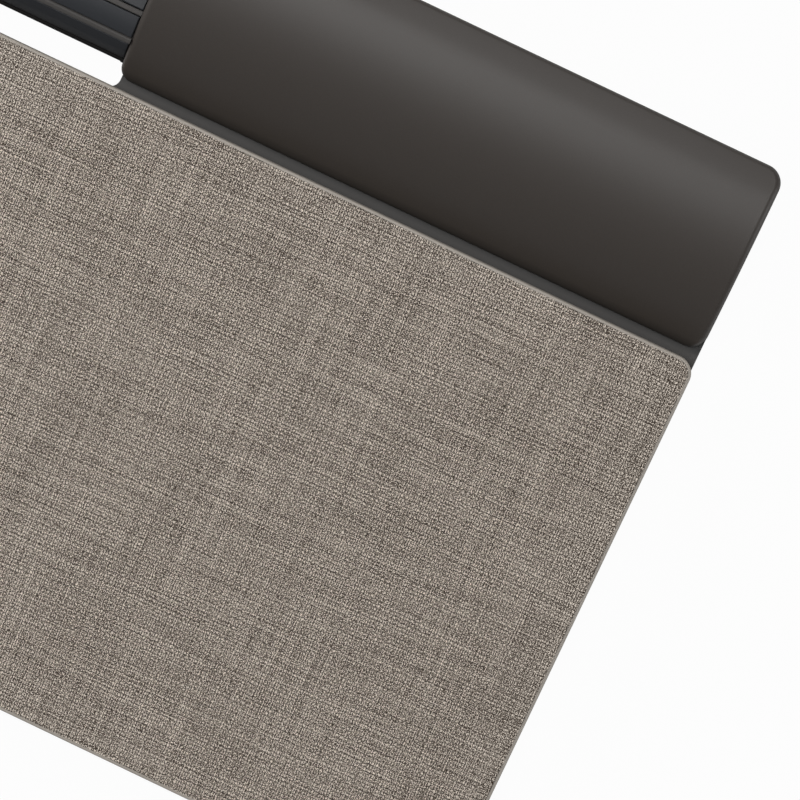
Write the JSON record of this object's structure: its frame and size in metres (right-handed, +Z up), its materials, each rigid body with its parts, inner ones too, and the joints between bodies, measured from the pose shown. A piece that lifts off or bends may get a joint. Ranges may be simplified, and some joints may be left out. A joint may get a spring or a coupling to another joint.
{
  "type": "bar mouse with palm rest",
  "caption": "Slim bar-type pointing device with a roller bar, scroll wheel and long keys between wedge end covers, on a steel plate with a deep fabric palm rest.",
  "frame": {"origin": "on the desk, under the middle of the whole object's box", "axes": "+X to the right along the bar, +Y towards the keyboard, +Z up"},
  "size_m": [0.485, 0.19, 0.0198],
  "materials": {
    "cover_plastic": "fine moulded grain, satin",
    "frame_plastic": "fine moulded grain, satin",
    "chassis_plastic": "plain moulded",
    "key_plastic": "smooth satin",
    "board": "solder mask",
    "switch_plastic": "plain",
    "steel": "ground and plated",
    "bearing_plastic": "natural acetal",
    "tube_aluminium": "drawn",
    "grip_rubber": "ribbed",
    "foot_rubber": "plain",
    "cell_foil": "foil pouch",
    "plate_paint": "powder coat",
    "rim_plastic": "smooth moulded",
    "foam": "open cell",
    "cloth": "plain weave, mottled yarn"
  },
  "bodies": {
    "unit": {"chassis": "chassis_plastic", "left_cover": "cover_plastic", "right_cover": "cover_plastic", "key_frame": "frame_plastic", "back_rail": "frame_plastic", "main_board": "board", "key_switches": "switch_plastic", "wheel_switch": "switch_plastic", "wheel_encoder": "switch_plastic", "board_screws": "steel", "sensor_board": "board", "optical_sensor": "switch_plastic", "right_rod_keeper": "chassis_plastic", "left_rod_keeper": "chassis_plastic", "bar_switches": "switch_plastic", "charge_board": "board", "usb_socket": "steel", "power_switch": "switch_plastic", "battery": "cell_foil", "magnets": "steel", "cover_screws": "steel", "unit_feet": "foot_rubber"},
    "bar_carriage": {"slider_rod": "steel", "right_rod_block": "bearing_plastic", "left_rod_block": "bearing_plastic"},
    "roller_bushes": {"right_bush": "bearing_plastic", "left_bush": "bearing_plastic"},
    "roller": {"core_tube": "tube_aluminium", "grip_sleeve": "grip_rubber"},
    "wheel_axle": {"wheel_axle": "steel"},
    "wheel": {"wheel_hub": "bearing_plastic", "wheel_tyre": "grip_rubber"},
    "power_knob": {"power_knob": "switch_plastic"},
    "palm_rest": {"rest_plate": "plate_paint", "rest_tray": "rim_plastic", "foam_pad": "foam", "cloth_cover": "cloth", "rest_feet": "foot_rubber"},
    "right_front_key": {"right_front_key": "key_plastic"},
    "right_middle_key": {"right_middle_key": "key_plastic"},
    "right_rear_key": {"right_rear_key": "key_plastic"},
    "left_front_key": {"left_front_key": "key_plastic"},
    "left_middle_key": {"left_middle_key": "key_plastic"},
    "left_rear_key": {"left_rear_key": "key_plastic"}
  },
  "joints": [
    {"name": "bar_click", "type": "slide", "parent": "unit", "child": "bar_carriage", "axis": [0, 0, -1], "range_m": [0, 0.0008], "stiffness_N_per_m": 1000, "springref_m": -0.002},
    {"name": "roller_travel", "type": "slide", "parent": "bar_carriage", "child": "roller_bushes", "axis": [1, 0, 0], "range_m": [-0.016, 0.016]},
    {"name": "roller_turn", "type": "hinge", "parent": "roller_bushes", "child": "roller", "pos_m": [0, 0.07919, 0.0118], "axis": [1, 0, 0], "continuous": true},
    {"name": "wheel_click", "type": "slide", "parent": "unit", "child": "wheel_axle", "axis": [0, 0, -1], "range_m": [0, 0.0005], "stiffness_N_per_m": 600, "springref_m": -0.001},
    {"name": "wheel_turn", "type": "hinge", "parent": "wheel_axle", "child": "wheel", "pos_m": [0, 0.0617, 0.0092], "axis": [1, 0, 0], "continuous": true},
    {"name": "right_front_key_press", "type": "slide", "parent": "unit", "child": "right_front_key", "axis": [0, 0.8007, -0.599], "range_m": [0, 0.0005], "stiffness_N_per_m": 600, "springref_m": -0.001},
    {"name": "right_middle_key_press", "type": "slide", "parent": "unit", "child": "right_middle_key", "axis": [0, 0.3264, -0.9452], "range_m": [0, 0.0005], "stiffness_N_per_m": 600, "springref_m": -0.001},
    {"name": "right_rear_key_press", "type": "slide", "parent": "unit", "child": "right_rear_key", "axis": [0, 0, -1], "range_m": [0, 0.0005], "stiffness_N_per_m": 600, "springref_m": -0.001},
    {"name": "left_front_key_press", "type": "slide", "parent": "unit", "child": "left_front_key", "axis": [0, 0.8007, -0.599], "range_m": [0, 0.0005], "stiffness_N_per_m": 600, "springref_m": -0.001},
    {"name": "left_middle_key_press", "type": "slide", "parent": "unit", "child": "left_middle_key", "axis": [0, 0.3264, -0.9452], "range_m": [0, 0.0005], "stiffness_N_per_m": 600, "springref_m": -0.001},
    {"name": "left_rear_key_press", "type": "slide", "parent": "unit", "child": "left_rear_key", "axis": [0, 0, -1], "range_m": [0, 0.0005], "stiffness_N_per_m": 600, "springref_m": -0.001},
    {"name": "power_slide", "type": "slide", "parent": "unit", "child": "power_knob", "axis": [1, 0, 0], "range_m": [0, 0.002]},
    {"name": "rest_pull_off", "type": "slide", "parent": "unit", "child": "palm_rest", "axis": [0, -1, 0], "range_m": [0, 0.04]}
  ]
}
